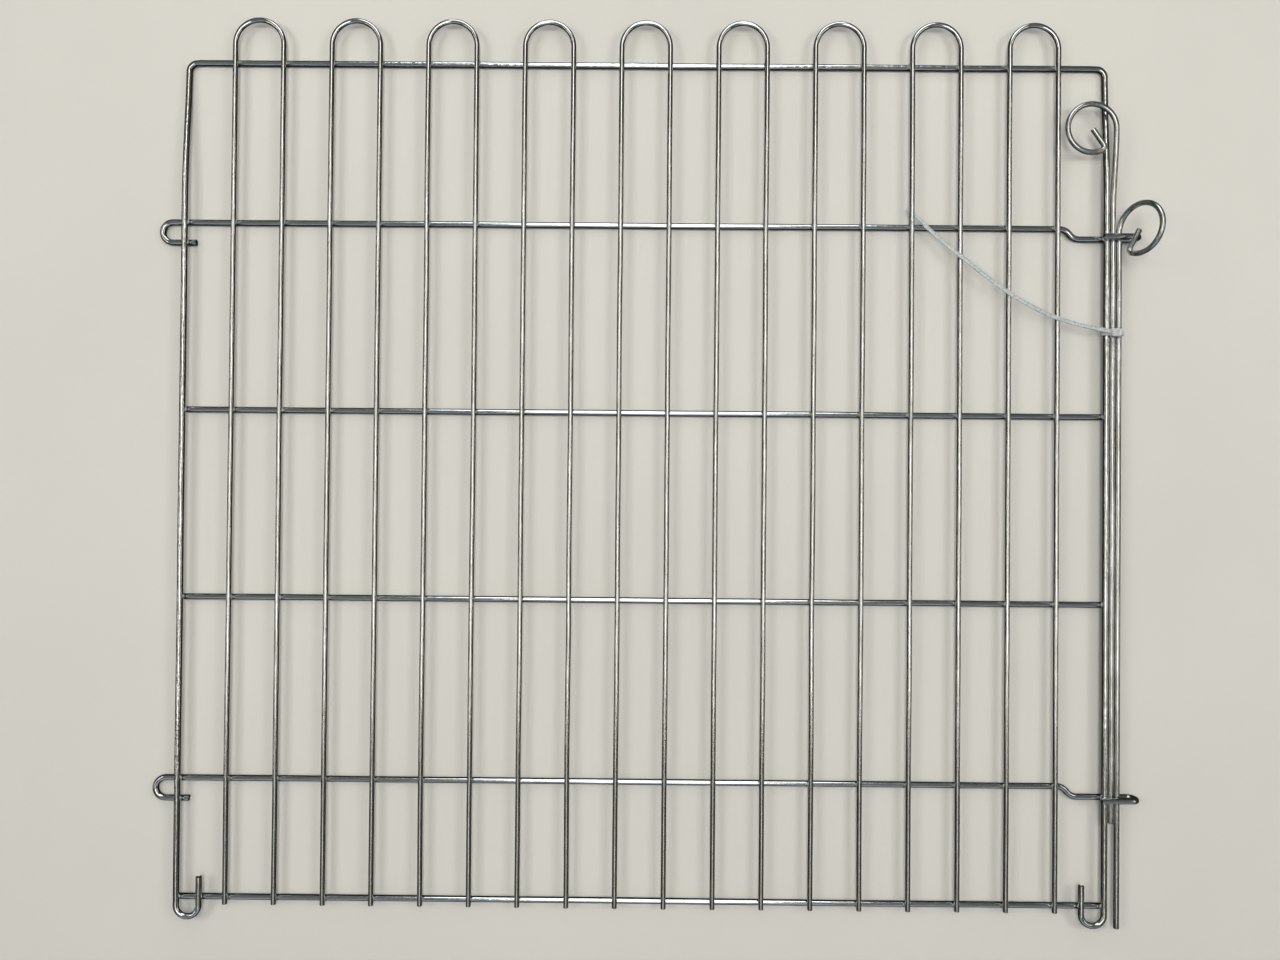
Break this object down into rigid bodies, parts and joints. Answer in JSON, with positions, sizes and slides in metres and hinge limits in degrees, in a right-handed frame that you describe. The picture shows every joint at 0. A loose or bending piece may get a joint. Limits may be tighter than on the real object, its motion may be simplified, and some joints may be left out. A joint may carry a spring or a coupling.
{
  "type": "wire rabbit cage panel",
  "caption": "Zinc-plated wire panel of a modular rabbit cage: hairpin bars on a bent frame wire, hinge eyes at both sides, connecting pins and a cable tie.",
  "frame": {"origin": "middle of the panel's outline, on the surface that its rear wires lie on", "axes": "+X towards the slot eyes and the pins, +Y towards the panel's top, +Z from its back to its front, up as it lies"},
  "size_m": [0.6123, 0.5615, 0.035],
  "materials": {
    "frame_zinc": "bright zinc plating, slightly beaded along the uprights",
    "hairpin_zinc": "bright zinc plating",
    "crossbar_zinc": "bright zinc plating",
    "pin_zinc": "zinc plating, dulled and scuffed by handling",
    "tie_nylon": "natural nylon, slightly clear"
  },
  "bodies": {
    "panel": {"frame_wire": "frame_zinc", "left_foot_hook": "frame_zinc", "right_foot_hook": "frame_zinc", "hairpin_1": "hairpin_zinc", "hairpin_2": "hairpin_zinc", "hairpin_3": "hairpin_zinc", "hairpin_4": "hairpin_zinc", "hairpin_5": "hairpin_zinc", "hairpin_6": "hairpin_zinc", "hairpin_7": "hairpin_zinc", "hairpin_8": "hairpin_zinc", "hairpin_9": "hairpin_zinc", "upper_hinge_bar": "crossbar_zinc", "upper_plain_bar": "crossbar_zinc", "lower_plain_bar": "crossbar_zinc", "lower_hinge_bar": "crossbar_zinc", "bottom_bar": "crossbar_zinc", "cable_tie": "tie_nylon"},
    "raised_pin_body": {"raised_pin": "pin_zinc"},
    "seated_pin_body": {"seated_pin": "pin_zinc"}
  },
  "joints": [
    {"name": "raised_pin_slide", "type": "slide", "parent": "panel", "child": "raised_pin_body", "axis": [0, 1, 0], "range_m": [-0.012, 0.36]},
    {"name": "seated_pin_swivel", "type": "hinge", "parent": "panel", "child": "seated_pin_body", "pos_m": [0.29274, 0.1492, 0.0057], "axis": [0, 1, 0], "range_deg": [-38, 34]}
  ]
}
